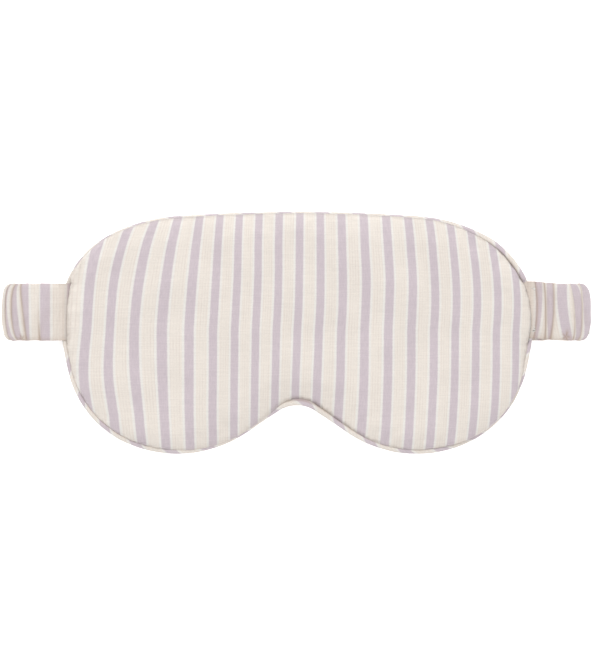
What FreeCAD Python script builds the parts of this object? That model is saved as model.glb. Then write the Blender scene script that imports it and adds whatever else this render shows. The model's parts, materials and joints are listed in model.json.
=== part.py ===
import FreeCAD, Part
import math
import os

# Padded sleep eye mask with a piped edge and an elastic head strap in a ruched fabric casing.
# Frame: millimetres, +Z towards the front face, +Y towards the forehead, the nose notch at -Y.
# The mask lies on its back. The origin is the middle of the outline, on the surface it lies on.

# ---- Driving dimensions -------------------------------------------------------------------------
BROW_HALF = 55.1          # from the centre line's top edge down to the origin
NOTCH_Y = -33.0           # the top of the nose notch
OUTLINE = [               # right half from the top centre, clockwise: (turn in degrees, radius)
    (4.0, 790.0),         # brow
    (23.0, 77.5),         # shoulder
    (74.5, 43.0),         # temple
    (0.0, 14.5),          # straight outer side: no turn, and its length
    (59.0, 48.0),         # outer cheek
    (54.0, 57.0),         # underside of the eye lobe
]

PIPING_R = 1.25           # outside of the piped edge
PIPING_WALL = 0.35
SEAM_Z = 6.6              # height of the seam all round the pad
FLANGE_T = 0.7            # the two layers of the piping's seam allowance
ALLOWANCE = 6.0           # width of every seam allowance
COVER_T = 0.4             # the cotton covers
FRONT_TOP = 12.2          # the highest point of the front cover
EDGE_ROUND = 4.6          # rounding of the pad's front and back edges
FIT = 0.05                # gap between layers that lie on each other
LINING_T = 0.5

STRAP_Y = 9.45            # centre line of the strap
STRAP_W = 26.0
STRAP_T = 2.8             # ruched casing with the elastic inside
CASING_WALL = 0.5
ELASTIC_W = 20.0
ELASTIC_T = 1.2
GAP = 0.3                 # running gap between strap parts that turn past each other
STRAP_ROOT_X = 110.1      # where the strap bends at the edge of the mask
FOLD_X = 131.55           # where the strap folds back behind the mask
CENTRE_GAP = 1.45         # each half stops this far from the centre line
SEGMENTS_HALF = 2.5       # back segments from the fold to the centre line

TAB_IN_X = 97.0           # inner end of the strap inside the mask
TAB_T = 1.6               # the strap flattened in the seam
TAB_WALL = 0.35
CHANNEL_RAMP = 3.0        # slope beside the groove that the strap leaves in the back
CHANNEL_SIDE = 0.6        # gap beside the strap in that groove

THREAD_R = 0.15
THREAD_INSET = 1.0        # from the pad's edge to the seam line
TACK_R = 0.2
TACK_COUNT = 11
CLOSING_STITCHES = 16
CLOSING_PITCH = 4.0
CLOSING_R = 0.2

# ---- Derived values -----------------------------------------------------------------------------
PAD_INSET = 2 * PIPING_R
FLANGE_TOP = SEAM_Z + FLANGE_T / 2
FLANGE_BOTTOM = SEAM_Z - FLANGE_T / 2
FRONT_Z = FLANGE_TOP + FIT
BACK_Z = FLANGE_BOTTOM - FIT
BAND_Z = STRAP_T / 2
CHANNEL_TOP = STRAP_T + GAP + FIT
TAB_Z = CHANNEL_TOP + COVER_T + FIT
ROOT_Z = STRAP_T + GAP + STRAP_T / 2
FOLD_R = (2 * STRAP_T + GAP) / 2
FOLD_Z = FOLD_R
SEGMENT = FOLD_X / SEGMENTS_HALF
PAD_REACH = 130.0         # past the pad's edge in every direction

X_AXIS = FreeCAD.Vector(1, 0, 0)
Y_AXIS = FreeCAD.Vector(0, 1, 0)
Z_AXIS = FreeCAD.Vector(0, 0, 1)
ORIGIN = FreeCAD.Vector(0, 0, 0)


def save(name, shape):
    """Write one node."""
    if not shape.isValid():
        raise RuntimeError(name + " is not a valid shape")
    shape.exportStep("parts/" + name + ".step")


def mirrored(shape):
    """The same piece on the other side of the centre line."""
    return shape.mirror(ORIGIN, X_AXIS)


def box(x_span, y_span, z_span):
    """A box from (low, high) spans."""
    size = [high - low for low, high in (x_span, y_span, z_span)]
    return Part.makeBox(*size, FreeCAD.Vector(x_span[0], y_span[0], z_span[0]))


def across(radius, x, z, width):
    """A cylinder that lies across the strap."""
    start = FreeCAD.Vector(x, STRAP_Y - width / 2, z)
    return Part.makeCylinder(radius, width, start, Y_AXIS)


# ---- Outline of the mask ------------------------------------------------------------------------
def step_on(point, heading, turn, radius):
    """The end of one stretch and the heading there. A positive turn is clockwise."""
    if turn == 0:
        ahead = FreeCAD.Vector(math.cos(heading), math.sin(heading), 0)
        return point + ahead * radius, heading
    side = math.copysign(1, turn)
    centre = point + FreeCAD.Vector(math.sin(heading), -math.cos(heading), 0) * (radius * side)
    heading -= math.radians(turn)
    spoke = FreeCAD.Vector(-math.sin(heading), math.cos(heading), 0) * (radius * side)
    return centre + spoke, heading


def closed_half():
    """The right half with its flank and notch, sized so that the half ends on the centre line."""
    point, heading = FreeCAD.Vector(0, BROW_HALF, 0), 0.0
    for turn, radius in OUTLINE:
        point, heading = step_on(point, heading, turn, radius)
    notch_turn = 180 - sum(turn for turn, radius in OUTLINE)
    flank = step_on(ORIGIN, heading, 0, 1.0)[0]
    notch = step_on(ORIGIN, heading, notch_turn, 1.0)[0]
    rest = FreeCAD.Vector(0, NOTCH_Y, 0) - point
    area = flank.x * notch.y - flank.y * notch.x
    flank_length = (rest.x * notch.y - rest.y * notch.x) / area
    notch_radius = (flank.x * rest.y - flank.y * rest.x) / area
    return OUTLINE + [(0.0, flank_length), (notch_turn, notch_radius)]


HALF = closed_half()


def outline(inset, z):
    """The closed outline, moved in from the mask's edge by inset, as tangent arcs and lines."""
    point, heading = FreeCAD.Vector(0, BROW_HALF - inset, z), 0.0
    edges = []
    for turn, radius in HALF + HALF[::-1]:
        if turn != 0:
            radius -= math.copysign(inset, turn)
        end, end_heading = step_on(point, heading, turn, radius)
        if turn == 0:
            edges.append(Part.makeLine(point, end))
        else:
            middle = step_on(point, heading, turn / 2, radius)[0]
            edges.append(Part.Arc(point, middle, end).toShape())
        point, heading = end, end_heading
    return Part.Wire(edges)


def slab(inset, low, high):
    """A flat layer of the mask's shape."""
    return Part.Face(outline(inset, low)).extrude(Z_AXIS * (high - low))


def rounded_slab(inset, low, high, round_z, radius):
    """A layer whose edge at the height round_z is rounded."""
    layer = slab(inset, low, high)
    rim = [edge for edge in layer.Edges if abs(edge.BoundBox.ZMin - round_z) < FIT / 2
           and abs(edge.BoundBox.ZMax - round_z) < FIT / 2]
    return layer.makeFillet(radius, rim)


def ring(inset, z, radius):
    """A round section swept all the way round the mask."""
    path = outline(inset, z)
    start = FreeCAD.Vector(0, BROW_HALF - inset, z)
    section = Part.Wire([Part.makeCircle(radius, start, X_AXIS)])
    return path.makePipeShell([section], True, False)


# ---- Strap groove and strap openings in the back ------------------------------------------------
def channel(growth):
    """The groove that the strap fills behind the pad, grown by a wall thickness."""
    top = CHANNEL_TOP + growth
    half_top = STRAP_W / 2 + CHANNEL_SIDE + growth
    half_low = half_top + CHANNEL_RAMP
    profile = Part.makePolygon([
        FreeCAD.Vector(-PAD_REACH, STRAP_Y - half_low, -FIT),
        FreeCAD.Vector(-PAD_REACH, STRAP_Y - half_top, top),
        FreeCAD.Vector(-PAD_REACH, STRAP_Y + half_top, top),
        FreeCAD.Vector(-PAD_REACH, STRAP_Y + half_low, -FIT),
        FreeCAD.Vector(-PAD_REACH, STRAP_Y - half_low, -FIT)])
    return Part.Face(profile).extrude(X_AXIS * (2 * PAD_REACH))


def tab_space(growth):
    """The room that both strap ends take inside the mask."""
    half = STRAP_W / 2 + growth
    one = box((TAB_IN_X - growth, PAD_REACH), (STRAP_Y - half, STRAP_Y + half),
              (TAB_Z - growth, TAB_Z + TAB_T + growth))
    return one.fuse(mirrored(one))


# ---- Pad ----------------------------------------------------------------------------------------
def front_cover():
    """Front cotton with its seam allowance turned in."""
    outer = rounded_slab(PAD_INSET, FRONT_Z, FRONT_TOP, FRONT_TOP, EDGE_ROUND)
    inner_top = FRONT_TOP - COVER_T
    inner = rounded_slab(PAD_INSET + COVER_T, FRONT_Z + COVER_T, inner_top, inner_top,
                         EDGE_ROUND - COVER_T)
    opening = slab(PAD_INSET + ALLOWANCE, FRONT_Z, FRONT_Z + COVER_T)
    return outer.cut(inner).cut(opening)


def front_wadding():
    """Soft filling between the front cover and the lining."""
    inset = PAD_INSET + COVER_T + FIT
    top = FRONT_TOP - COVER_T - FIT
    body = rounded_slab(inset, FRONT_Z + COVER_T + FIT, top, top, EDGE_ROUND - COVER_T - FIT)
    core = slab(PAD_INSET + ALLOWANCE + FIT, FRONT_Z, FRONT_Z + COVER_T + 2 * FIT)
    return body.fuse(core).removeSplitter()


def blackout_lining():
    """Opaque layer in the middle of the pad, inside the seam allowances."""
    low = SEAM_Z - LINING_T / 2
    return slab(PAD_INSET + ALLOWANCE + FIT, low, low + LINING_T)


def back_wadding():
    """Soft filling between the lining and the back cover."""
    inset = PAD_INSET + COVER_T + FIT
    low = COVER_T + FIT
    top = BACK_Z - COVER_T - FIT
    body = rounded_slab(inset, low, top, low, EDGE_ROUND - COVER_T - FIT)
    core = slab(PAD_INSET + ALLOWANCE + FIT, top - FIT, BACK_Z)
    body = body.fuse(core).removeSplitter()
    return body.cut(channel(COVER_T + FIT)).cut(tab_space(TACK_R + FIT))


def back_cover():
    """Back cotton with its seam allowance turned in, pressed up by the strap."""
    outer = rounded_slab(PAD_INSET, 0, BACK_Z, 0, EDGE_ROUND).cut(channel(0))
    inner = rounded_slab(PAD_INSET + COVER_T, COVER_T, BACK_Z - COVER_T, COVER_T,
                         EDGE_ROUND - COVER_T).cut(channel(COVER_T))
    opening = slab(PAD_INSET + ALLOWANCE, BACK_Z - COVER_T, BACK_Z)
    return outer.cut(inner).cut(opening).cut(tab_space(FIT))


# ---- Piped edge ---------------------------------------------------------------------------------
def piping_cover():
    """Bias strip wrapped round the cord, with its flat allowance in the seam."""
    tube = ring(PIPING_R, SEAM_Z, PIPING_R)
    bore = ring(PIPING_R, SEAM_Z, PIPING_R - PIPING_WALL)
    outer_inset = PAD_INSET - PIPING_WALL / 2
    flange = slab(outer_inset, FLANGE_BOTTOM, FLANGE_TOP)
    flange = flange.cut(slab(PAD_INSET + ALLOWANCE, FLANGE_BOTTOM, FLANGE_TOP))
    return tube.fuse(flange).cut(bore)


def piping_cord():
    """Cotton cord inside the piping."""
    return ring(PIPING_R, SEAM_Z, PIPING_R - PIPING_WALL - FIT)


# ---- Threads ------------------------------------------------------------------------------------
def seam_thread():
    """The line of machine stitching that holds the covers and the piping together."""
    return ring(PAD_INSET + THREAD_INSET, FLANGE_TOP + FIT / 2, THREAD_R)


def closing_stitches():
    """Hand stitches that close the turning gap at the back of the brow."""
    first = -(CLOSING_STITCHES - 1) * CLOSING_PITCH / 2
    low = FreeCAD.Vector(0, BROW_HALF - PAD_INSET - CLOSING_R, BACK_Z - 2 * COVER_T)
    high = FreeCAD.Vector(CLOSING_PITCH / 4, BROW_HALF - PIPING_R, SEAM_Z - PIPING_R + CLOSING_R)
    stitches = []
    for index in range(CLOSING_STITCHES):
        shift = FreeCAD.Vector(first + index * CLOSING_PITCH, 0, 0)
        stitches.append(Part.makeCylinder(CLOSING_R, (high - low).Length, low + shift, high - low))
    return Part.makeCompound(stitches)


def bar_tack():
    """Zigzag of thread across the right strap end."""
    pitch = (STRAP_W - 4) / (TACK_COUNT - 1)
    z = TAB_Z + TAB_T
    stitches = []
    for index in range(TACK_COUNT):
        y = STRAP_Y + (index - (TACK_COUNT - 1) / 2) * pitch
        start = FreeCAD.Vector(TAB_IN_X + 2, y - pitch / 4, z)
        run = FreeCAD.Vector(2.4, pitch / 2, 0)
        stitches.append(Part.makeCylinder(TACK_R, run.Length, start, run))
    return Part.makeCompound(stitches)


# ---- Strap, right side --------------------------------------------------------------------------
def sleeve(outer, cavity, elastic):
    """Casing and elastic of one stretch, cut from its outer shape."""
    return outer.cut(cavity), outer.common(elastic)


def band(x_span, z_mid, width, thickness):
    """A straight stretch of strap."""
    return box(x_span, (STRAP_Y - width / 2, STRAP_Y + width / 2),
               (z_mid - thickness / 2, z_mid + thickness / 2))


def strap_end():
    """The flattened end of the strap, sewn into the seam."""
    z_mid = TAB_Z + TAB_T / 2
    outer = band((TAB_IN_X, STRAP_ROOT_X - STRAP_T / 2 - GAP), z_mid, STRAP_W, TAB_T)
    reach = (TAB_IN_X, STRAP_ROOT_X)
    cavity = band(reach, z_mid, STRAP_W - 2 * TAB_WALL, TAB_T - 2 * TAB_WALL)
    elastic = band(reach, z_mid, ELASTIC_W, TAB_T - 2 * TAB_WALL - 2 * FIT)
    return sleeve(outer, cavity, elastic)


def strap_side():
    """From the mask's edge out to the fold, with the fold itself."""
    reach = (STRAP_ROOT_X, FOLD_X)
    inner_w = STRAP_W - 2 * CASING_WALL
    inner_t = STRAP_T - 2 * CASING_WALL
    root = across(STRAP_T / 2, STRAP_ROOT_X, ROOT_Z, STRAP_W)
    outer = band(reach, ROOT_Z, STRAP_W, STRAP_T).fuse([
        root, across(FOLD_R, FOLD_X, FOLD_Z, STRAP_W)]).removeSplitter()
    long_reach = (STRAP_ROOT_X - STRAP_T, FOLD_X)
    cavity = band(long_reach, ROOT_Z, inner_w, inner_t).fuse(
        across(FOLD_R - CASING_WALL, FOLD_X, FOLD_Z, inner_w))
    turn = across(FOLD_R - (STRAP_T - ELASTIC_T) / 2, FOLD_X, FOLD_Z, ELASTIC_W).cut(
        across(FOLD_R - (STRAP_T + ELASTIC_T) / 2, FOLD_X, FOLD_Z, ELASTIC_W))
    outside = box((FOLD_X, FOLD_X + PAD_REACH), (-PAD_REACH, PAD_REACH), (-PAD_REACH, PAD_REACH))
    elastic = band(long_reach, ROOT_Z, ELASTIC_W, ELASTIC_T).fuse(turn.common(outside))
    return sleeve(outer, cavity, elastic)


def back_stretch(outer_x, inner_x, start_r, start_z):
    """One stretch behind the mask: hollowed to turn about its outer end, rounded at its inner."""
    inner_w = STRAP_W - 2 * CASING_WALL
    inner_t = STRAP_T - 2 * CASING_WALL
    outer = band((inner_x, outer_x), BAND_Z, STRAP_W, STRAP_T)
    if inner_x > CENTRE_GAP:
        outer = outer.fuse(across(STRAP_T / 2, inner_x, BAND_Z, STRAP_W)).removeSplitter()
    outer = outer.cut(across(start_r, outer_x, start_z, STRAP_W))
    reach = (inner_x - STRAP_T, outer_x)
    return sleeve(outer, band(reach, BAND_Z, inner_w, inner_t),
                  band(reach, BAND_Z, ELASTIC_W, ELASTIC_T))


def strap_right():
    """Every stretch of the right half: (name, casing, elastic)."""
    first_hinge = FOLD_X - SEGMENT
    second_hinge = first_hinge - SEGMENT
    turn_r = STRAP_T / 2 + GAP
    return [
        ("strap_end",) + strap_end(),
        ("side",) + strap_side(),
        ("back_outer",) + back_stretch(FOLD_X, first_hinge, FOLD_R + GAP, FOLD_Z),
        ("back_inner",) + back_stretch(first_hinge, second_hinge, turn_r, BAND_Z),
        ("back_centre",) + back_stretch(second_hinge, CENTRE_GAP, turn_r, BAND_Z),
    ]


# ---- Write every node ---------------------------------------------------------------------------
os.makedirs("parts", exist_ok=True)

for maker in (front_cover, front_wadding, blackout_lining, back_wadding, back_cover,
              piping_cover, piping_cord, closing_stitches):
    save(maker.__name__, maker())
save("perimeter_seam_thread", seam_thread())

tack = bar_tack()
save("right_bar_tack", tack)
save("left_bar_tack", mirrored(tack))

for name, casing, elastic in strap_right():
    for side, place in (("right", lambda shape: shape), ("left", mirrored)):
        save(side + "_" + name + "_casing", place(casing))
        save(side + "_" + name + "_elastic", place(elastic))
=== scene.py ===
import json
import math
import random

import bpy
import numpy as np
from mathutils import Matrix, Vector
from mathutils.geometry import delaunay_2d_cdt


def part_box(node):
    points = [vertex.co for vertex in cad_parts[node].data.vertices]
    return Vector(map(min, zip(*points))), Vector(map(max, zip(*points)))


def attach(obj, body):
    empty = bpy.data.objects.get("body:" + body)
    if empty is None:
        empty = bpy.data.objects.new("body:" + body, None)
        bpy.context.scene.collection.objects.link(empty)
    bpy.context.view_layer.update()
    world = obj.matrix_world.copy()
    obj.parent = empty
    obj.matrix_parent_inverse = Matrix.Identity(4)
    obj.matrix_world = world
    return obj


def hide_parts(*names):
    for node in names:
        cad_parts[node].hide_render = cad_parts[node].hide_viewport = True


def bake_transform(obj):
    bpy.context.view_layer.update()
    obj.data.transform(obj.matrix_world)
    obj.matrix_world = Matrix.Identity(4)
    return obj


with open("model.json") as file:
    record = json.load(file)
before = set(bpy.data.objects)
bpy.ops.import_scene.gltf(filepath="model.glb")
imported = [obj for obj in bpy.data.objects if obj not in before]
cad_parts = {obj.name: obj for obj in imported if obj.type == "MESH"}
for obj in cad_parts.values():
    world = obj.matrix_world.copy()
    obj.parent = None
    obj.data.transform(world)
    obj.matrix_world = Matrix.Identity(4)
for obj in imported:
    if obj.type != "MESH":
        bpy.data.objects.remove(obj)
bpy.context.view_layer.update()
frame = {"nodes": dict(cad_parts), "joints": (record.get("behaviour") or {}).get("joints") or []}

# A padded sleep mask of striped cotton, piped all round, with its ruched strap folded behind it.
# Shapes are worked out in millimetres and turned into metres when a mesh is made.

MM = 0.001


# ---- Sizes from the frame -----------------------------------------------------------------------
def span(node, axis):
    """Lowest and highest coordinate of a CAD node along one axis, in millimetres."""
    low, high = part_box(node)
    return low[axis] / MM, high[axis] / MM


def joint_at(name):
    """Where a joint's axis crosses the strap, as (x, z) in millimetres."""
    x, _, z = next(j for j in frame["joints"] if j["name"] == name)["pos_m"]
    return x / MM, z / MM


PIPING_LOW, PIPING_HIGH = span("piping_cover", 2)
PIPING_R = (PIPING_HIGH - PIPING_LOW) / 2
SEAM_Z = (PIPING_HIGH + PIPING_LOW) / 2
FRONT_TOP = span("front_cover", 2)[1]
BAND_LOW, BAND_HIGH = span("right_back_outer_casing", 1)
STRAP_Y = (BAND_LOW + BAND_HIGH) / 2
STRAP_W = BAND_HIGH - BAND_LOW
STRAP_T = span("right_back_inner_casing", 2)[1]
ROOT_X, ROOT_Z = joint_at("right_strap_open")
FOLD_X, FOLD_Z = joint_at("right_strap_fold")
OUTER_HINGE_X, BAND_Z = joint_at("right_back_bend_outer")
INNER_HINGE_X = joint_at("right_back_bend_inner")[0]

# ---- Outline of the mask: the same arcs as the CAD part -----------------------------------------
BROW_HALF = 55.1
NOTCH_Y = -33.0
OUTLINE = [(4.0, 790.0), (23.0, 77.5), (74.5, 43.0), (0.0, 14.5), (59.0, 48.0), (54.0, 57.0)]
RIM_STEP = 0.75           # spacing of the points along the rim


def arc_step(point, heading, turn, radius):
    """The end of an arc or, with no turn, of a straight stretch, and the heading there."""
    if turn == 0:
        return point + radius * np.array([math.cos(heading), math.sin(heading)]), heading
    side = math.copysign(radius, turn)
    centre = point + side * np.array([math.sin(heading), -math.cos(heading)])
    heading -= math.radians(turn)
    return centre + side * np.array([-math.sin(heading), math.cos(heading)]), heading


def closed_half():
    """The right half of the outline, with the flank and notch that end it on the centre line."""
    point, heading = np.array([0.0, BROW_HALF]), 0.0
    for turn, radius in OUTLINE:
        point, heading = arc_step(point, heading, turn, radius)
    notch_turn = 180 - sum(turn for turn, radius in OUTLINE)
    flank = arc_step(np.zeros(2), heading, 0, 1.0)[0]
    notch = arc_step(np.zeros(2), heading, notch_turn, 1.0)[0]
    rest = np.array([0.0, NOTCH_Y]) - point
    flank_length, notch_radius = np.linalg.solve(np.column_stack([flank, notch]), rest)
    return OUTLINE + [(0.0, flank_length), (notch_turn, notch_radius)]


def rim_points():
    """Points, outward normals and arc lengths along the whole outline, clockwise from the top."""
    half = closed_half()
    point, heading = np.array([0.0, BROW_HALF]), 0.0
    points, headings = [], []
    for turn, radius in half + half[::-1]:
        length = radius if turn == 0 else abs(math.radians(turn)) * radius
        count = max(2, round(length / RIM_STEP))
        points.append(point)
        headings.append(heading)
        for share in np.arange(1, count) / count:
            part = (0, radius * share) if turn == 0 else (turn * share, radius)
            at, towards = arc_step(point, heading, *part)
            points.append(at)
            headings.append(towards)
        point, heading = arc_step(point, heading, turn, radius)
    points, headings = np.array(points), np.array(headings)
    normals = np.column_stack([-np.sin(headings), np.cos(headings)])
    steps = np.linalg.norm(np.roll(points, -1, 0) - points, axis=1)
    return points, normals, np.concatenate([[0], np.cumsum(steps)[:-1]])


RIM, RIM_NORMAL, RIM_S = rim_points()
RIM_LENGTH = RIM_S[-1] + RIM_STEP



# ---- Small helpers ------------------------------------------------------------------------------
def smoothstep(low, high, value):
    t = np.clip((value - low) / (high - low), 0, 1)
    return t * t * (3 - 2 * t)


def bump_at(value, centre, width):
    return np.exp(-((value - centre) / width) ** 2)


def value_noise(x, y, size, seed):
    """Smooth noise from -1 to 1 with features of the given size."""
    generator = np.random.default_rng(seed)
    table = generator.uniform(-1, 1, (64, 64))
    gx, gy = np.asarray(x) / size + 31.7, np.asarray(y) / size + 17.3
    ix, iy = np.floor(gx).astype(int), np.floor(gy).astype(int)
    fx, fy = gx - ix, gy - iy
    fx, fy = fx * fx * (3 - 2 * fx), fy * fy * (3 - 2 * fy)
    corner = [[table[(ix + i) % 64, (iy + j) % 64] for j in (0, 1)] for i in (0, 1)]
    low = corner[0][0] * (1 - fy) + corner[0][1] * fy
    high = corner[1][0] * (1 - fy) + corner[1][1] * fy
    return low * (1 - fx) + high * fx


def mesh_piece(name, points, faces, fabric=None, normals=None):
    """A mesh object from millimetre points. fabric holds each point's place on the flat cloth and, as
    a third value, how much painted shade it gets.
    """
    mesh = bpy.data.meshes.new(name)
    mesh.from_pydata((np.asarray(points) * MM).tolist(), [], [list(map(int, f)) for f in faces])
    mesh.shade_smooth()
    if fabric is not None:
        layer = mesh.attributes.new("fabric", "FLOAT_VECTOR", "POINT")
        layer.data.foreach_set("vector", np.asarray(fabric, np.float32).ravel())
    if normals is not None:
        mesh.normals_split_custom_set_from_vertices(normals.tolist())
    mesh.validate()
    piece = bpy.data.objects.new(name, mesh)
    bpy.context.scene.collection.objects.link(piece)
    return piece


def solidify(piece, thickness):
    """Gives a single layer of cloth its thickness, on the inner side."""
    modifier = piece.modifiers.new("thickness", "SOLIDIFY")
    modifier.thickness = thickness * MM
    modifier.offset = -1
    graph = bpy.context.evaluated_depsgraph_get()
    mesh = bpy.data.meshes.new_from_object(piece.evaluated_get(graph))
    piece.modifiers.clear()
    piece.data = mesh


def grid_faces(rows, columns, wrap_rows=False, wrap_columns=True, flip=False):
    """Quads over a grid of points that are stored row by row."""
    faces = []
    for i in range(rows if wrap_rows else rows - 1):
        for j in range(columns if wrap_columns else columns - 1):
            a, b = i * columns + j, i * columns + (j + 1) % columns
            c, d = ((i + 1) % rows) * columns + (j + 1) % columns, ((i + 1) % rows) * columns + j
            faces.append((a, d, c, b) if flip else (a, b, c, d))
    return faces


# ---- The rolled rim -----------------------------------------------------------------------------
# How much of the piping shows beside the front cover, by the direction from the middle: it has
# rolled to the back along the brow, up the left side and on one flank of the notch.
PIPING_SHOWS = [(0, 1.9), (10, 2.3), (20, 2.5), (30, 1.7), (40, 1.0), (60, 0.7), (90, 0.6),
                (120, 0.8), (140, 0.9), (155, 0.6), (168, 0.7), (182, 1.7), (190, 1.7),
                (205, 2.0), (222, 1.8), (230, 1.3), (237, 0.9), (246, 0.6), (254, 0.9),
                (260, 2.0), (270, 2.8), (283, 2.4), (297, 2.2), (308, 1.7), (320, 1.8),
                (328, 1.2), (336, 0.6), (345, 0.9), (353, 1.4), (360, 1.9)]
STRAP_INSET = {"left": 3.3, "right": 1.8}     # from the rim to the cover's edge where the strap is
DIP = 2.35                # how far the piping goes down to pass behind the strap


def rolled_rim():
    """For each rim point: how far in the front cover ends, the piping's height, and how much it
    belongs to the stretch behind a strap, from 0 to 1."""
    direction = np.degrees(np.arctan2(RIM[:, 1], RIM[:, 0])) % 360
    shows = np.interp(direction, *np.array(PIPING_SHOWS, float).T)
    for _ in range(12):
        shows = (np.roll(shows, 1) + 2 * shows + np.roll(shows, -1)) / 4
    shows = np.minimum(shows, 2 * PIPING_R)
    off = np.abs(RIM[:, 1] - STRAP_Y) - STRAP_W / 2
    behind = np.where(np.abs(RIM[:, 0]) > 90, 1 - smoothstep(0.3, 3.2, off), 0)
    roll = 1 - shows / (2 * PIPING_R)
    height = SEAM_Z - 1.1 * roll * (1 - behind) - DIP * behind
    bow = 0.9 * ((RIM[:, 1] - STRAP_Y) / (STRAP_W / 2)) ** 2
    under = np.where(RIM[:, 0] < 0, STRAP_INSET["left"] - bow, STRAP_INSET["right"])
    return shows * (1 - behind) + under * behind, height, behind


SHOWS, PIPING_Z, BEHIND = rolled_rim()


# ---- Materials ----------------------------------------------------------------------------------
PITCH = 10.1              # from one mauve stripe to the next on the flat cloth, in millimetres
MAUVE_W = 3.7             # width of a mauve stripe
BORDER_W = 0.95           # the pale line on each side of a mauve stripe
PIN_PITCH = 1.16          # the fine lines in the cream ground
WEAVE = 0.42              # one thread of the cloth


def srgb(red, green, blue):
    """A colour from 8-bit display values."""
    channels = [c / 255 for c in (red, green, blue)]
    return tuple(c / 12.92 if c <= 0.04045 else ((c + 0.055) / 1.055) ** 2.4 for c in channels) + (1,)


class Nodes:
    """Builds a node tree from short calls."""

    def __init__(self, name, roughness, sheen=0.0):
        self.material = bpy.data.materials.new(name)
        self.material.use_nodes = True
        self.tree = self.material.node_tree
        self.shader = self.tree.nodes["Principled BSDF"]
        self.shader.inputs["Roughness"].default_value = roughness
        self.shader.inputs["Specular IOR Level"].default_value = 0.25
        self.shader.inputs["Sheen Weight"].default_value = sheen
        self.shader.inputs["Sheen Roughness"].default_value = 0.6

    def add(self, kind, values=(), **settings):
        node = self.tree.nodes.new(kind)
        for key, value in settings.items():
            setattr(node, key, value)
        for socket, value in values:
            if isinstance(value, bpy.types.NodeSocket):
                self.tree.links.new(value, node.inputs[socket])
            else:
                node.inputs[socket].default_value = value
        return node

    def math(self, operation, *values):
        return self.add("ShaderNodeMath", list(enumerate(values)), operation=operation).outputs[0]

    def ramp(self, value, low, high, out_low=0.0, out_high=1.0):
        node = self.add("ShaderNodeMapRange", [("Value", value), ("From Min", low),
                        ("From Max", high), ("To Min", out_low), ("To Max", out_high)],
                        interpolation_type="SMOOTHSTEP")
        return node.outputs["Result"]

    def mix(self, factor, first, second, blend="MIX"):
        node = self.add("ShaderNodeMix", [(0, factor), (6, first), (7, second)],
                        data_type="RGBA", blend_type=blend)
        return node.outputs[2]

    def place(self, u, v, u_scale, v_scale):
        node = self.add("ShaderNodeCombineXYZ", [("X", self.math("MULTIPLY", u, u_scale)),
                                                ("Y", self.math("MULTIPLY", v, v_scale))])
        return node.outputs[0]

    def noise(self, vector, detail=2.0, scale=1.0):
        node = self.add("ShaderNodeTexNoise", [("Vector", vector), ("Scale", scale),
                                               ("Detail", detail)])
        return node.outputs["Fac"]

    def fabric(self):
        """The place on the flat cloth, across the stripes and along them, and how much painted shade
        it gets.
        """
        source = self.add("ShaderNodeAttribute", attribute_name="fabric")
        split = self.add("ShaderNodeSeparateXYZ", [(0, source.outputs["Vector"])])
        return split.outputs[0], split.outputs[1], split.outputs[2]

    def finish(self, colour, height, distance, strength=1.0):
        bump = self.add("ShaderNodeBump", [("Height", height), ("Distance", distance),
                                           ("Strength", strength)])
        self.tree.links.new(colour, self.shader.inputs["Base Color"])
        self.tree.links.new(bump.outputs[0], self.shader.inputs["Normal"])
        return self.material


CREAM = srgb(228, 220, 211)
PIN = srgb(216, 204, 195)
BORDER = srgb(228, 225, 220)
MAUVE = srgb(204, 192, 197)
# SHADE is the painted shade colour for creases, the ditch beside the seam and the piping's inner
# side.
SHADE = srgb(172, 150, 134)


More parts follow.
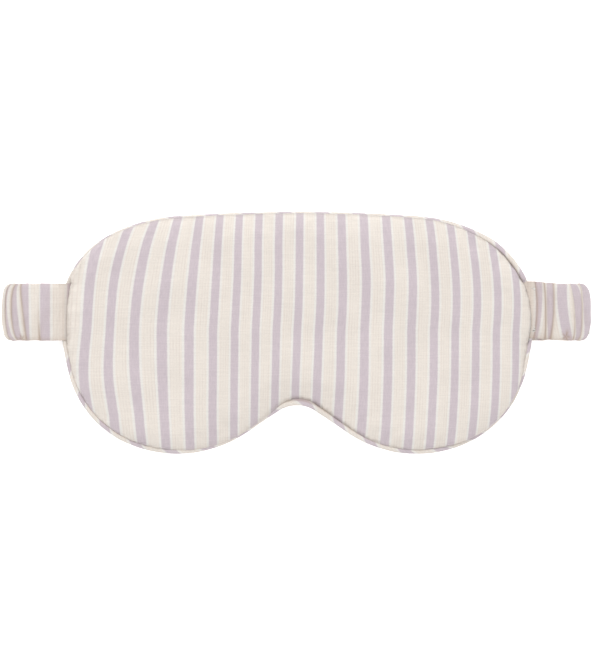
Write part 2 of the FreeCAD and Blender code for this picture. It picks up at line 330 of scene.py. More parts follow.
def striped_cotton(name, weave_strength=1.0):
    """Woven cotton with mauve and cream stripes, pale borders, pin-lines, slubs and a fine weave,
    with painted shade mixed in where the mesh asks for it.
    """
    n = Nodes(name, roughness=0.88, sheen=0.12)
    u, v, painted_shade = n.fabric()
    fuzz = n.noise(n.place(u, v, 1.1, 2.4))
    edge = n.math("ADD", u, n.math("MULTIPLY", n.math("SUBTRACT", fuzz, 0.5), 0.35))
    turn = n.math("FRACT", n.math("ADD", n.math("DIVIDE", edge, PITCH), 0.5))
    across = n.math("MULTIPLY", n.math("ABSOLUTE", n.math("SUBTRACT", turn, 0.5)), PITCH)

    pin = n.math("SINE", n.math("MULTIPLY", u, math.tau / PIN_PITCH))
    patchy = n.ramp(n.noise(n.place(u, v, 0.35, 0.05)), 0.35, 0.65, 0.25, 1.0)
    pin = n.math("MULTIPLY", n.ramp(pin, 0.1, 0.95, 0.0, 0.5), patchy)
    colour = n.mix(pin, CREAM, PIN)
    border = n.ramp(across, MAUVE_W / 2 + BORDER_W - 0.3, MAUVE_W / 2 + BORDER_W + 0.3, 0.9, 0.0)
    colour = n.mix(border, colour, BORDER)
    mauve = n.ramp(across, MAUVE_W / 2 - 0.3, MAUVE_W / 2 + 0.3, 1.0, 0.0)
    streak = n.ramp(n.noise(n.place(u, v, 2.6, 0.25)), 0.3, 0.7)
    tinted = n.mix(streak, MAUVE, srgb(198, 186, 192))
    colour = n.mix(mauve, colour, tinted)

    slub = n.ramp(n.noise(n.place(u, v, 0.09, 1.5)), 0.3, 0.75, 0.96, 1.015)
    thread = n.ramp(n.noise(n.place(u, v, 3.0, 0.3)), 0.25, 0.75, 0.975, 1.015)
    cloud = n.ramp(n.noise(n.place(u, v, 0.045, 0.06), 1.0), 0.3, 0.7, 0.975, 1.015)
    grain = n.ramp(n.noise(n.place(u, v, 1.6, 1.6), 1.0), 0.25, 0.75, 0.97, 1.02)
    tone = n.math("MULTIPLY", n.math("MULTIPLY", slub, thread), n.math("MULTIPLY", cloud, grain))
    grey = n.add("ShaderNodeCombineColor", [(0, tone), (1, tone), (2, tone)]).outputs[0]
    colour = n.mix(1.0, colour, grey, "MULTIPLY")
    # Painted shade: the cloth is mixed towards SHADE by the fabric attribute's third value.
    colour = n.mix(n.math("MULTIPLY", painted_shade, 0.8), colour, SHADE)

    warp = n.math("SINE", n.math("MULTIPLY", u, math.tau / WEAVE))
    weft = n.math("SINE", n.math("MULTIPLY", v, math.tau / WEAVE))
    over = n.math("MULTIPLY", warp, weft)
    rough = n.noise(n.place(u, v, 1.2, 1.2), 3.0)
    height = n.math("ADD", n.math("MULTIPLY", over, 0.3), rough)
    return n.finish(colour, height, 0.00006 * weave_strength)


def plain_fibre(name, colour, second, size, distance, roughness=0.9, stretch=1.0):
    """Fibrous or woven stuff that has no pattern: wadding, cord, thread and lining."""
    n = Nodes(name, roughness, sheen=0.2)
    place = n.add("ShaderNodeTexCoord").outputs["Object"]
    mapping = n.add("ShaderNodeMapping", [("Vector", place), ("Scale", (1 / size, stretch / size,
                                                                      1 / size))])
    fibre = n.noise(mapping.outputs[0], 4.0, 1000.0)
    return n.finish(n.mix(n.ramp(fibre, 0.3, 0.7), colour, second), fibre, distance)


def elastic_webbing(name):
    """Ribbed white elastic: fine rubber cords along the band, covered with thread."""
    n = Nodes(name, 0.7, sheen=0.1)
    place = n.add("ShaderNodeTexCoord").outputs["Object"]
    split = n.add("ShaderNodeSeparateXYZ", [(0, place)])
    rib = n.math("SINE", n.math("MULTIPLY", split.outputs[1], math.tau / 0.0011))
    cross = n.math("SINE", n.math("MULTIPLY", split.outputs[0], math.tau / 0.0006))
    height = n.math("ADD", rib, n.math("MULTIPLY", cross, 0.35))
    # Painted shade and highlight: the grooves between the ribs are darker and the crests paler.
    colour = n.mix(n.ramp(rib, -1.0, 1.0), srgb(214, 210, 202), srgb(240, 238, 232))
    return n.finish(colour, height, 0.00012)


COVER_CLOTH = striped_cotton("striped cotton")
STRAP_CLOTH = striped_cotton("ruched striped cotton")
PIPING_CLOTH = striped_cotton("bias striped cotton")
WADDING = plain_fibre("polyester wadding", srgb(240, 239, 235), srgb(222, 221, 217), 2.5, 0.0005)
LINING = plain_fibre("blackout lining", srgb(30, 30, 33), srgb(44, 43, 46), 0.5, 0.0001)
CORD = plain_fibre("cotton cord", srgb(236, 230, 220), srgb(214, 206, 194), 0.4, 0.0002)
THREAD = plain_fibre("sewing thread", srgb(222, 212, 206), srgb(196, 186, 184), 0.15, 0.00005)
ELASTIC = elastic_webbing("elastic webbing")


def paint(piece, material):
    piece.data.materials.clear()
    piece.data.materials.append(material)


# ---- Stripes on the covers ----------------------------------------------------------------------
SEEN = 1.0045             # the top of the pad is nearer the camera, so it looks this much larger


def front_fabric(x, y):
    """The place on the striped cloth of a point of the front cover, as the camera sees it.

    Up the pad the stripes lean right at the left end and left at the right end. They lie furthest
    apart where the cloth is pulled, left of the middle. The constants are fitted to the stripes."""
    x, y = x * SEEN, y * SEEN
    rise = (y - 1.3) / 43
    up, down = np.maximum(rise, 0), np.maximum(-rise, 0)
    right = np.maximum(x, 0) / 100
    shift = 1.2 * np.tanh(2 * up) * bump_at(x, -30, 155)
    shift += 6.2 * bump_at(x, -74, 31) * up ** 2.3
    shift += right * (0.45 * np.sin(math.pi * np.clip(up / 0.8, 0, 1)) - 3.2 * up ** 2.1)
    shift += 2.7 * bump_at(x, -74, 17.5) * down ** 1.3 - 1.5 * bump_at(x, 5, 30) * down ** 1.3
    shift -= 1.5 * bump_at(x, -100, 27) * np.sin(math.pi * np.clip(down / 0.9, 0, 1))
    shift -= 1.65 * right * down ** 2.5
    grid = np.arange(-125.0, 125.0, 0.25)
    pitch = (9.3 + 3.55 * bump_at(grid, -62.5, 21.5) + 1.5 * bump_at(grid, 35, 29.5)
             - 0.8 * bump_at(grid, 104, 11) + 18.0 * bump_at(grid, -108, 8))
    phase = np.concatenate([[0], np.cumsum(0.25 / pitch)[:-1]])
    phase -= np.interp(0.1, grid, phase)
    wander = 0.15 * value_noise(x, y, 15, 5)
    return np.interp(x - shift + wander, grid, phase) * PITCH


def back_fabric(x, y):
    """The stripes of the back cover run straight, with a slight wander."""
    return x + 2.6 + 0.5 * value_noise(x, y, 40, 8)


# ---- The pad: both covers blown up together as one cloth simulation -----------------------------
CLOTH_STEP = 1.3          # size of the triangles in the covers
EDGE_REACH = 10.0         # how far in from the seam the pad's edge is rounded
BULGE_CAP = 0.9           # how far the simulation may move a point
SIM_SCALE = 0.01          # the simulation runs ten times larger than life
SEWN = 2 * PIPING_R


def seam_ring(inset, z):
    """The rim moved in by an inset that varies along it."""
    flat = RIM - RIM_NORMAL * np.asarray(inset)[:, None]
    return np.column_stack([flat, z])


def triangulated(ring):
    """Even triangles inside a ring: (flat points, triangles, distance of each point to the ring).
    The ring's own points come first."""
    keep = np.arange(0, len(ring), 2)
    edge = ring[keep, :2]
    generator = np.random.default_rng(3)
    xs = np.arange(edge[:, 0].min(), edge[:, 0].max(), CLOTH_STEP)
    ys = np.arange(edge[:, 1].min(), edge[:, 1].max(), CLOTH_STEP * math.sqrt(3) / 2)
    gx, gy = np.meshgrid(xs, ys)
    gx[1::2] += CLOTH_STEP / 2
    inner = np.column_stack([gx.ravel(), gy.ravel()])
    inner += generator.uniform(-0.12, 0.12, inner.shape)
    inner = inner[inside(inner, edge)]
    gap = distance_to(inner, edge)
    inner, gap = inner[gap > 0.6 * CLOTH_STEP], gap[gap > 0.6 * CLOTH_STEP]
    points = np.vstack([edge, inner])
    faces = np.array(delaunay_2d_cdt([Vector(p) for p in points], [], [], 0, 1e-6)[2])
    faces = faces[inside(points[faces].mean(1), edge)]
    return points, faces.tolist(), np.concatenate([np.zeros(len(edge)), gap]), keep


def inside(points, ring):
    """Which points lie inside a closed ring."""
    found = np.zeros(len(points), bool)
    for a, b in zip(ring, np.roll(ring, -1, 0)):
        crosses = (a[1] > points[:, 1]) != (b[1] > points[:, 1])
        x = a[0] + (points[:, 1] - a[1]) * (b[0] - a[0]) / (b[1] - a[1] + 1e-12)
        found ^= crosses & (points[:, 0] < x)
    return found


def distance_to(points, ring):
    """Distance from each point to the nearest edge of a closed ring."""
    best = np.full(len(points), 1e9)
    for a, b in zip(ring, np.roll(ring, -1, 0)):
        ab = b - a
        t = np.clip((points - a) @ ab / (ab @ ab), 0, 1)
        best = np.minimum(best, np.linalg.norm(points - a - t[:, None] * ab, axis=1))
    return best


def rim_position(points):
    """How far along the rim the nearest rim point is."""
    where = np.empty(len(points))
    for start in range(0, len(points), 2000):
        block = points[start:start + 2000]
        gaps = ((block[:, None, :] - RIM[None, ::2, :]) ** 2).sum(2)
        where[start:start + 2000] = RIM_S[::2][gaps.argmin(1)]
    return where


def edge_profile(gap):
    """The pad's height from the seam, from 0 to 1, by distance from the seam."""
    share = 1 - np.clip(gap / EDGE_REACH, 0, 1)
    return np.sqrt(np.maximum(0, 1 - share ** 2.3))


def puckers(points, gap, seed):
    """Short gathers that run in from the seam and fade out."""
    along = rim_position(points)
    ridges = value_noise(along, along * 0, 3.1, seed) + 0.6 * value_noise(along, gap, 5.7, seed + 1)
    reach = 3.5 + 2.5 * value_noise(along, along * 0, 9.0, seed + 2)
    return ridges * np.exp(-gap / reach) * smoothstep(0, 1.5, gap)


def front_heights(points, gap, ring_z):
    rise = FRONT_TOP - SEAM_Z - 0.45
    x, y = points.T
    height = SEAM_Z + rise * edge_profile(gap)
    height += 0.28 * puckers(points, gap, 21)
    settled = smoothstep(1, 8, gap)
    height += settled * (0.28 * value_noise(x, y, 19, 11) + 0.10 * value_noise(x, y, 7, 12))
    height += settled * (0.55 * bump_at(y, 20 + 0.03 * x, 11) - 0.45 * bump_at(y, -4, 12))
    height[:len(ring_z)] = ring_z
    return height


STRAP_CLEARANCE = 0.4


def back_heights(points, gap, ring_z):
    """Flat where the pad lies, pressed up in a groove by the strap behind it."""
    height = SEAM_Z - 0.2 - (SEAM_Z - 0.2) * edge_profile(gap)
    height += 0.25 * np.abs(puckers(points, gap, 31))
    off = np.abs(points[:, 1] - STRAP_Y) - STRAP_W / 2
    groove = (STRAP_T + STRAP_CLEARANCE) * (1 - smoothstep(0.8, 6.5, off))
    height = np.maximum(height, groove)
    height[:len(ring_z)] = ring_z
    return height


def sewn_pad():
    """Both covers as one closed cloth: points, front and back triangles, and the strip between."""
    hang = np.sqrt(np.maximum(0, PIPING_R ** 2 - (PIPING_R - SHOWS) ** 2))
    over = (PIPING_Z + hang) * (1 - BEHIND) + (SEAM_Z + 0.35) * BEHIND
    front_ring = seam_ring(SHOWS, over)
    back_ring = seam_ring(np.full(len(RIM), SEWN - 0.3), PIPING_Z - 0.9)
    flat_f, faces_f, gap_f, kept = triangulated(front_ring)
    flat_b, faces_b, gap_b, _ = triangulated(back_ring)
    z_f = front_heights(flat_f, gap_f, front_ring[kept, 2])
    z_b = back_heights(flat_b, gap_b, back_ring[kept, 2])
    front, back = np.column_stack([flat_f, z_f]), np.column_stack([flat_b, z_b])
    return front, faces_f, gap_f, back, faces_b, gap_b, len(kept)


def inflate(points, faces, pinned):
    """Runs the cloth with pressure inside and a little spare cloth, and returns the new points."""
    mesh = bpy.data.meshes.new("cloth")
    mesh.from_pydata((points * SIM_SCALE).tolist(), [], faces)
    cloth = bpy.data.objects.new("cloth", mesh)
    bpy.context.scene.collection.objects.link(cloth)
    group = cloth.vertex_groups.new(name="pin")
    group.add([int(i) for i in pinned], 1.0, "REPLACE")
    modifier = cloth.modifiers.new("cloth", "CLOTH")
    settings = modifier.settings
    settings.quality = 6
    settings.mass = 0.2
    settings.tension_stiffness = settings.compression_stiffness = 14
    settings.shear_stiffness = 5
    settings.bending_stiffness = 0.35
    settings.air_damping = 2
    settings.use_pressure = True
    settings.uniform_pressure_force = 2.2
    settings.shrink_min = -0.035
    settings.vertex_group_mass = "pin"
    settings.effector_weights.gravity = 0
    modifier.collision_settings.use_collision = False
    modifier.point_cache.frame_start = 1
    modifier.point_cache.frame_end = 20
    for step in range(1, 21):
        bpy.context.scene.frame_set(step)
    graph = bpy.context.evaluated_depsgraph_get()
    shaped = cloth.evaluated_get(graph)
    moved = np.empty(len(points) * 3, np.float32)
    shaped.data.vertices.foreach_get("co", moved)
    bpy.data.objects.remove(cloth)
    bpy.context.scene.frame_set(1)
    return moved.reshape(-1, 3) / SIM_SCALE


def capped(start, moved, cap):
    """Softly limits how far the points went."""
    step = moved - start
    length = np.linalg.norm(step, axis=1, keepdims=True) + 1e-9
    return start + step * (cap * np.tanh(length / cap) / length)


def shaped_pad():
    """The two covers after the simulation."""
    front, faces_f, gap_f, back, faces_b, gap_b, count = sewn_pad()
    shift = len(front)
    strip = [(i, (i + 1) % count, shift + (i + 1) % count, shift + i) for i in range(count)]
    reverse = [tuple(shift + i for i in face[::-1]) for face in faces_b]
    faces = [tuple(face) for face in faces_f] + reverse + strip
    start = np.vstack([front, back])
    pinned = list(range(count)) + list(range(shift, shift + count))
    moved = capped(start, inflate(start, faces, pinned), BULGE_CAP)
    new_front, new_back = moved[:shift], moved[shift:]
    groove = np.abs(back[:, 1] - STRAP_Y) < STRAP_W / 2 + 0.8
    low = np.where(groove, STRAP_T + 0.3, 0.0)
    new_back[:, 2] = np.maximum(new_back[:, 2], low)
    return new_front, faces_f, gap_f, new_back, faces_b, gap_b


front_points, front_faces, front_gap, back_points, back_faces, back_gap = shaped_pad()


def cover(name, node, points, faces, gap, fabric_u, upward):
    """One cover with its thickness. Its cloth gets painted shade in the ditch beside the piping."""
    faces = [tuple(face) if upward else tuple(face[::-1]) for face in faces]
    # The third value is painted shade, strongest at the seam and fading inwards.
    fabric = np.column_stack([fabric_u, points[:, 1], 0.22 * np.exp(-gap / 0.6)])
    piece = mesh_piece(name, points, faces, fabric)
    solidify(piece, 0.35)
    paint(piece, COVER_CLOTH)
    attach(piece, "mask")
    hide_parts(node)
    return piece


ring = seam_ring(np.full(len(RIM), SEWN), np.zeros(len(RIM)))[:, :2]

front_cover = cover("cover_front", "front_cover", front_points, front_faces, front_gap,
                    front_fabric(front_points[:, 0], front_points[:, 1]), True)
back_cover = cover("cover_back", "back_cover", back_points, back_faces, back_gap,
                   back_fabric(back_points[:, 0], back_points[:, 1]), False)


# ---- Inside the pad -----------------------------------------------------------------------------
def wadding(name, node, points, faces, gap, flat_z, inward):
    """A puffy layer that follows its cover just inside, flat against the lining."""
    count = len(points)
    soft = points.copy()
    soft[:, 2] += inward * (0.75 + 0.25 * value_noise(points[:, 0], points[:, 1], 5, 41))
    limit = np.maximum if inward < 0 else np.minimum
    soft[:, 2] = limit(soft[:, 2], flat_z - inward * 0.3)
    base = points.copy()
    base[:, 2] = flat_z
    kept = gap > 1.2
    soft, base = soft[kept], base[kept]
    number = np.cumsum(kept) - 1
    tops = [tuple(number[i] for i in face) for face in faces if all(kept[i] for i in face)]
    total = kept.sum()
    sides = {}
    for face in tops:
        for a, b in zip(face, face[1:] + face[:1]):
            sides[(a, b)] = True
    rim = [(a, b) for a, b in sides if (b, a) not in sides]
    walls = [(b, a, a + total, b + total) for a, b in rim]
    bottoms = [tuple(i + total for i in face[::-1]) for face in tops]
    faces = tops + bottoms + walls
    if inward > 0:
        faces = [face[::-1] for face in faces]
    piece = mesh_piece(name, np.vstack([soft, base]), faces)
    paint(piece, WADDING)
    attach(piece, "mask")
    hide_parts(node)


def ring_gap(points):
    return distance_to(points[:, :2], ring[::2]) * inside(points[:, :2], ring[::2])


LINING_LOW, LINING_HIGH = span("blackout_lining", 2)
WADDING_GAP = 0.9         # from the lining to the flat side of the wadding
wadding("wadding_front", "front_wadding", front_points, front_faces, ring_gap(front_points),
        LINING_HIGH + WADDING_GAP, -1)
wadding("wadding_back", "back_wadding", back_points, back_faces, ring_gap(back_points),
        LINING_LOW - WADDING_GAP, 1)


def lining():
    """The blackout layer, a flat cut cloth that ends inside the seam allowances."""
    inset = np.full(len(RIM), SEWN + 6.1)
    edge = seam_ring(inset, np.full(len(RIM), LINING_HIGH))
    flat, faces, _, _ = triangulated(edge)
    wave = 0.1 * value_noise(flat[:, 0], flat[:, 1], 12, 51)
    points = np.column_stack([flat, LINING_HIGH - 0.1 + wave])
    piece = mesh_piece("lining", points, faces)
    solidify(piece, LINING_HIGH - LINING_LOW - 0.2)
    paint(piece, LINING)
    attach(piece, "mask")
    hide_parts("blackout_lining")


lining()

# ---- Piping -------------------------------------------------------------------------------------
BIAS = 0.595              # sine of the angle between the stripes and the piping
BIAS_FIRST = 3.9          # where the cloth's pattern starts on the piping, at the top of the brow
ALLOWANCE = 6.0
STRIP_T = 0.3


def strip_profile():
    """Section of the folded bias strip as a thin closed loop: (distance out from the seam, height),
    and how far round the strip each point is."""
    radius = PIPING_R - STRIP_T / 2
    opening = math.radians(14)
    turns = np.linspace(math.pi - opening, -math.pi + opening, 29)
    tube = np.column_stack([radius * np.cos(turns), radius * np.sin(turns)])
    tail = np.linspace(-PIPING_R - ALLOWANCE, -PIPING_R - 0.4, 4)
    middle = np.vstack([np.column_stack([tail, np.full(4, 0.18)]), tube,
                        np.column_stack([tail[::-1], np.full(4, -0.18)])])
    ahead = np.gradient(middle, axis=0)
    ahead /= np.linalg.norm(ahead, axis=1, keepdims=True)
    side = np.column_stack([-ahead[:, 1], ahead[:, 0]]) * STRIP_T / 2
    steps = np.linalg.norm(np.diff(middle, axis=0), axis=1)
    along = np.concatenate([[0], np.cumsum(steps)])
    along -= along[-1] / 2
    return (np.vstack([middle + side, (middle - side)[::-1]]),
            np.concatenate([along, along[::-1]]))


def piping():
    """Bias strip round the whole rim, a little uneven."""
    section, around = strip_profile()
    columns = len(section)
    wobble = 0.10 * value_noise(RIM_S, RIM_S * 0, 7, 61)
    swell = 1 + 0.05 * value_noise(RIM_S, RIM_S * 0, 4, 62)
    out = section[None, :, 0] * swell[:, None] - PIPING_R + wobble[:, None]
    up = section[None, :, 1] * swell[:, None]
    tail = np.clip(-section[:, 0] - PIPING_R, 0, None) / ALLOWANCE
    lift = (SEAM_Z - PIPING_Z) * (1 - BEHIND)
    z = PIPING_Z[:, None] + up + lift[:, None] * np.minimum(1, 2 * tail)[None, :]
    flat = RIM[:, None, :] + RIM_NORMAL[:, None, :] * out[:, :, None]
    points = np.concatenate([flat, z[:, :, None]], 2).reshape(-1, 3)
    repeats = round(RIM_LENGTH * BIAS / PITCH)
    across = RIM_S[:, None] * repeats * PITCH / RIM_LENGTH + BIAS_FIRST
    across = across + around[None, :] * math.sqrt(1 - BIAS ** 2)
    along = RIM_S[:, None] * math.sqrt(1 - BIAS ** 2) - around[None, :] * BIAS
    # Painted shade on the piping's side that turns in against the cover.
    inner = 0.45 * smoothstep(-0.2, -1.3, section[:, 0])[None, :] + 0 * across
    fabric = np.stack([across, along, inner], 2).reshape(-1, 3)
    piece = mesh_piece("piping_strip", points, grid_faces(len(RIM), columns, wrap_rows=True),
                       fabric)
    paint(piece, PIPING_CLOTH)
    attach(piece, "mask")
    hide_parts("piping_cover")


def cord():
    """Three-ply cotton cord inside the piping."""
    strand = np.linspace(0, math.tau, 25)[:-1]
    twist = RIM_S * math.tau / 3.2
    lobes = 0.72 + 0.10 * np.cos(3 * (strand[None, :] + twist[:, None] / 3))
    out = lobes * np.cos(strand) - PIPING_R
    z = PIPING_Z[:, None] + lobes * np.sin(strand)
    flat = RIM[:, None, :] + RIM_NORMAL[:, None, :] * out[:, :, None]
    points = np.concatenate([flat, z[:, :, None]], 2).reshape(-1, 3)
    piece = mesh_piece("piping_filler", points, grid_faces(len(RIM), 24, wrap_rows=True))
    paint(piece, CORD)
    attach(piece, "mask")
    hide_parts("piping_cord")


piping()
cord()

# ---- Strap --------------------------------------------------------------------------------------
# A gather is (where, hidden, depth, width). The first three are each given at the strap's top
# edge, middle and bottom edge: where it crosses, outwards from the middle of the mask, how much
# cloth it takes in, and how deep it is, which also sets how much painted shade its crease gets.
GATHERS = {
    "right": [((108.4, 109.4, 107.8), (1.5, 1.5, 2.6), (0.6, 0.6, 0.5), 0.8),
              ((112.7, 113.4, 113.1), (4.6, 4.4, 2.3), (0.6, 0.7, 0.8), 0.8),
              ((116.8, 117.0, 115.5), (6.2, 5.9, 4.2), (0.6, 0.6, 0.8), 0.9),
              ((124.7, 126.7, 126.7), (5.2, 3.9, 4.9), (0.1, 0.3, 0.75), 1.0),
              ((130.6, 130.5, 130.4), (4.9, 6.3, 6.6), (0.3, 0.5, 0.5), 0.7)],
    "left": [((117.6, 117.7, 117.3), (2.0, 2.2, 2.4), (0.0, 0.15, 0.9), 0.9),
             ((126.4, 125.0, 123.4), (5.4, 5.9, 7.0), (0.7, 0.6, 0.7), 0.8),
             ((129.7, 130.2, 128.8), (7.0, 6.2, 6.5), (0.5, 0.6, 0.5), 0.7),
             ((132.9, 133.1, 132.4), (3.0, 3.2, 3.0), (0.6, 0.7, 0.4), 0.6)],
}
FIRST_STRIPE = {"right": (120.9, 121.3, 124.0), "left": (114.8, 114.8, 114.8)}
KNOTS = {"right": (122.6, -0.88, 1.7), "left": (125.8, -0.93, 1.3)}      # pinched at the edge
STRAP_SPREAD = 0.82       # the strap's cloth runs at a slant, so its stripes look wider
MASK_EDGE_X = RIM[:, 0].max()
BAND_STEP = 0.28          # from one row of the casing's grid to the next
BAND_COLUMNS = 96         # points round the casing
FOLD_R = ROOT_Z - FOLD_Z  # from the fold's axis to the middle of the strap
ROOT_START = 103.0        # where the casing starts, under the edge of the cover
ROOT_BEND = 1.5           # the strap bends over this much on each side of the hinge at the mask
SOFT_BEND = 14.0          # and over this much at a hinge behind the mask
ELASTIC_HALF_W = 10.0


def along_edge(values, up):
    """The curve through values at the top edge, middle and bottom edge; up is 1, 0 and -1 there."""
    top, middle, bottom = values
    return middle + (top - bottom) / 2 * up + ((top + bottom) / 2 - middle) * up ** 2


def random_gathers(side, start, end):
    """Gathers for the stretch that lies behind the mask."""
    generator = random.Random("back " + side)
    gathers, at = [], start
    while at < end:
        at += generator.uniform(2.6, 6.0)
        slant, bow = generator.uniform(-0.9, 0.9), generator.uniform(-0.5, 0.5)
        depth, hidden = generator.uniform(0.2, 0.7), generator.uniform(0.4, 4.5)
        share = generator.uniform(0.7, 1.3)
        gathers.append(((at + slant + bow, at, at - slant + bow),
                        (hidden, hidden, hidden * share),
                        (depth, depth, depth * share), generator.uniform(0.7, 1.1)))
    return gathers


def band_path():
    """Middle line of one half of the strap: x, heading, distance outwards along the cloth, and the
    rows where the fold starts and ends."""
    out_x = np.arange(ROOT_START, FOLD_X, BAND_STEP)
    turn = np.linspace(0, math.pi, 40)
    back_x = np.append(np.arange(FOLD_X, 0, -1.6 * BAND_STEP)[1:], 0.0)
    x = np.concatenate([out_x, np.full(len(turn), FOLD_X), back_x])
    heading = np.concatenate([np.zeros(len(out_x)), turn, np.full(len(back_x), math.pi)])
    arc = (FOLD_R + STRAP_T / 2) * turn
    place = np.concatenate([out_x, FOLD_X + arc, FOLD_X + arc[-1] + FOLD_X - back_x])
    return x, heading, place, len(out_x), len(out_x) + len(turn) - 1


def strap_half(side):
    """Grid of points over one half of the ruched casing, with fabric places, painted shade and
    normals.
    """
    x, heading, place, fold_start, fold_end = band_path()
    angle = np.linspace(0, math.tau, BAND_COLUMNS + 1)[:-1]
    c, s = np.cos(angle), np.sin(angle)
    up = (np.sign(c) * np.abs(c) ** 0.8)[None, :]
    thick = (np.sign(s) * np.abs(s) ** 0.62)[None, :]
    front = (np.arange(len(x)) < (fold_start + fold_end) / 2)[:, None]
    outside = thick > 0

    valley = np.zeros((len(x), BAND_COLUMNS))
    # shade holds the painted shade of the casing's cloth.
    hidden, shade = np.zeros_like(valley), np.zeros_like(valley)
    anchor = along_edge(FIRST_STRIPE[side], up)
    for where, take, depth, width in GATHERS[side] + random_gathers(side, 139, place[-1]):
        line = along_edge(where, up)
        gap = place[:, None] - line
        slope = np.where(gap > 0, width, 0.7 * width)
        valley += along_edge(depth, up) * np.exp(-np.abs(gap) / slope)
        # Painted shade along the crease of each gather.
        shade += along_edge(depth, up) * (1.3 * np.exp(-np.abs(gap) / 0.35)
                                          + 0.3 * np.exp(-np.abs(gap) / 1.3))
        hidden += along_edge(take, up) * (smoothstep(-0.3, 0.3, gap) - (line < anchor))
    at, height, size = KNOTS[side]
    pinch = np.exp(-((place[:, None] - at) / size) ** 2 - ((up - height) / (size / 9)) ** 2)
    spokes = 0.6 + 0.4 * np.cos(5 * np.arctan2((up - height) * 13, place[:, None] - at))
    valley += 1.1 * pinch * spokes
    # Painted shade in the pinched knot, and on the strap beside the cover's edge where the pad
    # overhangs it.
    shade += 1.2 * pinch * spokes + 0.4 * np.exp(-np.maximum(place[:, None] - 105.5, 0) / 3)
    # Painted shade along the strap's bottom edge, and a little along its top edge.
    shade += 0.3 * (1 - smoothstep(-1, -0.8, up)) + 0.12 * (1 - smoothstep(0.0, 0.1, 1 - up))
    valley = 0.85 * np.tanh(valley / 0.85)

    across, seed = 13 * up + 0 * valley, 71 if side == "left" else 72
    fine = value_noise(place[:, None] / 1.1 + 0.12 * across, across / 8, 1, seed + 4)
    puff = 0.22 * value_noise(place[:, None] + 0 * up, across, 3.6, seed) + 0.11 * fine
    # Painted shade in the dips of the fine ruching.
    shade = np.clip(shade + 0.10 * np.maximum(-fine, 0), 0, 1)
    swell = np.where(front, np.where(outside, 0.4 + puff - valley, -0.3 * valley),
                     np.where(outside, -0.1 + np.minimum(puff, 0.1) - 0.8 * valley,
                              np.minimum(puff, 0.1) - 0.5 * valley))
    over = 1 - smoothstep(105.5, 110.3, x)[:, None]
    under = 1 - smoothstep(MASK_EDGE_X + 0.1, MASK_EDGE_X + 0.8, x)[:, None]
    swell = swell * np.where(front & outside, 1 - over, 1)
    radius = FOLD_R + (STRAP_T / 2 + swell) * thick
    px = x[:, None] + np.sin(heading)[:, None] * radius
    pz = FOLD_Z + np.cos(heading)[:, None] * radius
    pz = np.where(front & outside, pz + 0.55 * over * thick, pz)
    floor_z = ROOT_Z - STRAP_T / 2
    lifted = SEAM_Z - 0.9 - floor_z
    pz = np.where(front, pz + lifted * under * (1 - (pz - floor_z) / STRAP_T).clip(0, 1), pz)
    rounding = 1.0 * np.abs(up) ** 3 + 1.2 * np.abs(up) ** 12 + (0.6 if side == "right" else 0.0)
    near_fold = smoothstep(FOLD_X - 9, FOLD_X + 1, px)
    px = px - rounding * near_fold * (px > FOLD_X - 9)
    pz = np.maximum(pz, 0.0)

    waves = 0.25 * value_noise(place, place * 0, 2.9, 73) - 0.45 * valley.mean(1)
    root = smoothstep(MASK_EDGE_X, 112, x)
    tilt = 1.0 * (1 - smoothstep(106, 122, place)) if side == "right" else 0 * place
    y = STRAP_Y + tilt[:, None] + (STRAP_W / 2 + (root * waves)[:, None]) * up
    points = np.stack([px, y, pz], 2)
    u = STRAP_SPREAD * (place[:, None] - anchor) + hidden
    # A mauve stripe runs along the middle of the back, where the two halves meet.
    last = u[-1]
    u = u + ((np.round(last.mean() / PITCH) * PITCH - last)
             * smoothstep(145, place[-1], place)[:, None])
    fabric = np.stack([u, y, shade], 2)
    along = np.gradient(points, axis=0)
    around = np.roll(points, -1, 1) - np.roll(points, 1, 1)
    normals = np.cross(around, along)
    normals /= np.linalg.norm(normals, axis=2, keepdims=True) + 1e-9
    return points, fabric, normals, (fold_start, fold_end, x)


def strap_piece(name, side, half, first, last, caps):
    """One stretch of casing between two rows of the grid."""
    points, fabric, normals, _ = half
    sign = 1 if side == "right" else -1
    rows = last - first + 1
    flip = np.array([sign, 1, 1])
    part = (points[first:last + 1] * flip).reshape(-1, 3)
    faces = grid_faces(rows, BAND_COLUMNS, flip=sign < 0)
    if "start" in caps:
        rim = list(range(BAND_COLUMNS))
        faces.append(rim[::-1] if sign > 0 else rim)
    if "end" in caps:
        rim = list(range((rows - 1) * BAND_COLUMNS, rows * BAND_COLUMNS))
        faces.append(rim if sign > 0 else rim[::-1])
    piece = mesh_piece(side + "_" + name, part, faces, fabric[first:last + 1].reshape(-1, 3),
                       (normals[first:last + 1] * flip).reshape(-1, 3))
    paint(piece, STRAP_CLOTH)
    return piece


def elastic_half(half):
    """Grid of points for the elastic inside the casing, eight to a row."""
    points, _, _, (fold_start, fold_end, x) = half
    heading = band_path()[1]
    low, high = points[:, :, 2].min(1), points[:, :, 2].max(1)
    centre = np.stack([points[:, :, 0].mean(1), points[:, :, 1].mean(1), (low + high) / 2], 1)
    centre[fold_start:fold_end, 0] = FOLD_X + FOLD_R * np.sin(heading[fold_start:fold_end])
    centre[fold_start:fold_end, 2] = FOLD_Z + FOLD_R * np.cos(heading[fold_start:fold_end])
    free = smoothstep(109, 112, np.where(heading > 0.1, FOLD_X, x))
    centre[:, 2] -= 0.14 * (1 - free)
    thick = 0.12 + 0.43 * free
    across = np.array([-1, -0.4, 0.4, 1, 1, 0.4, -0.4, -1]) * ELASTIC_HALF_W
    side = np.array([1, 1, 1, 1, -1, -1, -1, -1])
    offset = thick[:, None] * side
    return np.stack([centre[:, 0, None] + np.sin(heading)[:, None] * offset,
                     centre[:, 1, None] + across + 0 * offset,
                     centre[:, 2, None] + np.cos(heading)[:, None] * offset], 2)


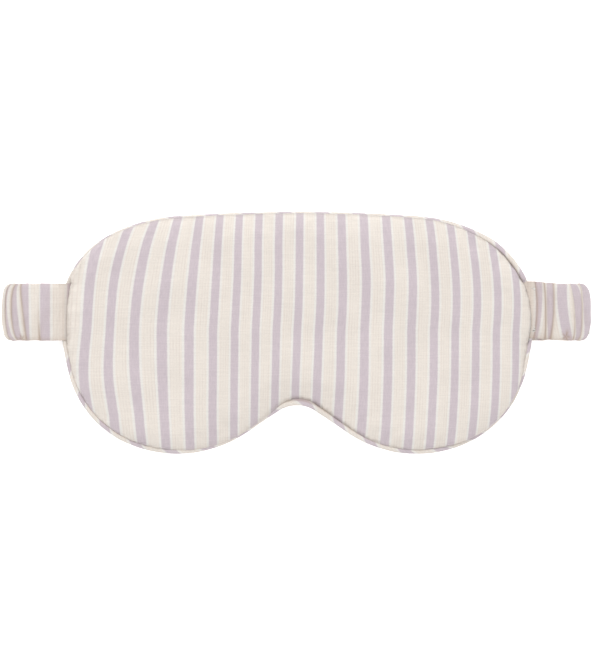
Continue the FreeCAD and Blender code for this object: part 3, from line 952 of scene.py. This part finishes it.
def elastic_piece(name, side, grid, first, last):
    """One stretch of the elastic between two rows."""
    sign = 1 if side == "right" else -1
    rows = last - first + 1
    part = (grid[first:last + 1] * np.array([sign, 1, 1])).reshape(-1, 3)
    faces = grid_faces(rows, 8, flip=sign > 0)
    start, end = list(range(8)), list(range((rows - 1) * 8, rows * 8))
    faces += [start, end[::-1]] if sign > 0 else [start[::-1], end]
    piece = mesh_piece(side + "_" + name, part, faces)
    paint(piece, ELASTIC)
    return piece


def strap(side):
    """The casing of one side in four pieces, each with its stretch of elastic."""
    half = strap_half(side)
    fold_start, fold_end, x = half[3]
    behind = np.arange(len(x)) > fold_end
    middle = int(np.argmax(behind & (x < (OUTER_HINGE_X + INNER_HINGE_X) / 2)))
    last = len(x) - 1
    sign = 1 if side == "right" else -1
    grid = elastic_half(half)

    def at(px, pz):
        return (sign * px * MM, STRAP_Y * MM, pz * MM)

    stretches = [
        ("side", 0, fold_start, ("start",), "mask", "side",
         at(ROOT_X - ROOT_BEND, ROOT_Z), at(ROOT_X + ROOT_BEND, ROOT_Z), ("strap_end", "side")),
        ("fold", fold_start, fold_end, (), "side", "back_outer",
         at(FOLD_X, 2 * FOLD_Z), at(FOLD_X, 0), ()),
        ("back_outer", fold_end, middle, (), "back_outer", "back_inner",
         at(OUTER_HINGE_X + SOFT_BEND, BAND_Z), at(OUTER_HINGE_X - SOFT_BEND, BAND_Z),
         ("back_outer",)),
        ("back_centre", middle, last, ("end",), "back_inner", "back_centre",
         at(INNER_HINGE_X + SOFT_BEND, BAND_Z), at(INNER_HINGE_X - SOFT_BEND, BAND_Z),
         ("back_inner", "back_centre")),
    ]
    for name, first, final, caps, outer, inner, start, end, nodes in stretches:
        casing = strap_piece("strap_" + name, side, half, first, final, caps)
        elastic = elastic_piece("elastic_" + name, side, grid, first, final)
        for piece, layer in ((casing, "casing"), (elastic, "elastic")):
            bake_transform(piece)
            if nodes:
                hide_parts(*(side + "_" + node + "_" + layer for node in nodes))


strap("left")
strap("right")

# ---- CAD nodes that stay ------------------------------------------------------------------------
for name, node in frame["nodes"].items():
    if name in ("perimeter_seam_thread", "closing_stitches", "left_bar_tack", "right_bar_tack"):
        paint(node, THREAD)


# ---- Floor, light and camera --------------------------------------------------------------------
def soft_light(name, place, size, power):
    data = bpy.data.lights.new(name, "AREA")
    data.shape = "DISK"
    data.size = size
    data.energy = power
    light = bpy.data.objects.new(name, data)
    light.location = place
    light.rotation_euler = (-Vector(place)).to_track_quat("-Z", "Y").to_euler()
    bpy.context.scene.collection.objects.link(light)


FLOOR_Z = -0.1            # just under the mask, so that the two don't touch
FLOOR_SIDES = 64
FLOOR_RINGS = ((600, 0), (1500, 0), (2200, 40), (2800, 180), (3300, 500), (3600, 1000))


def floor():
    """A pale studio floor that sweeps up far away. It rides on the middle of the strap, so it goes
    down as the strap opens."""
    ring = np.linspace(0, math.tau, FLOOR_SIDES + 1)[:-1]
    points = [(0.0, 0.0, FLOOR_Z)]
    for radius, rise in FLOOR_RINGS:
        points += [(radius * math.cos(a), radius * math.sin(a), rise + FLOOR_Z) for a in ring]
    after = [(i + 1) % FLOOR_SIDES for i in range(FLOOR_SIDES)]
    faces = [(0, 1 + i, 1 + after[i]) for i in range(FLOOR_SIDES)]
    for step in range(len(FLOOR_RINGS) - 1):
        low = 1 + FLOOR_SIDES * step
        high = low + FLOOR_SIDES
        faces += [(low + i, high + i, high + after[i], low + after[i])
                  for i in range(FLOOR_SIDES)]
    surface = mesh_piece("floor", points, faces)
    n = Nodes("pale floor", 0.9)
    n.shader.inputs["Base Color"].default_value = (0.9, 0.9, 0.9, 1)
    n.shader.inputs["Emission Color"].default_value = (1, 1, 1, 1)
    n.shader.inputs["Emission Strength"].default_value = 0.5
    paint(surface, n.material)
    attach(surface, "left_strap_back_centre")


floor()
soft_light("key", (-0.4, 0.92, 1.55), 0.7, 17)
soft_light("fill", (0.7, -0.6, 1.7), 1.4, 9.5)

world = bpy.data.worlds.new("studio")
world.use_nodes = True
world.node_tree.nodes["Background"].inputs[0].default_value = (1, 1, 1, 1)
world.node_tree.nodes["Background"].inputs[1].default_value = 0.48
bpy.context.scene.world = world
bpy.context.scene.view_settings.view_transform = "Standard"

VIEW_HEIGHT = 0.3006      # what the picture shows from top to bottom, at the height of the seam
CAMERA_RISE = 1.2
CAMERA_AT = (0.00137, 0.00125)

camera_data = bpy.data.cameras.new("camera")
camera_data.sensor_width = 36
camera_data.lens = 36 * CAMERA_RISE / VIEW_HEIGHT
camera = bpy.data.objects.new("camera", camera_data)
camera.location = (*CAMERA_AT, CAMERA_RISE + SEAM_Z * MM)
bpy.context.scene.collection.objects.link(camera)
bpy.context.scene.camera = camera
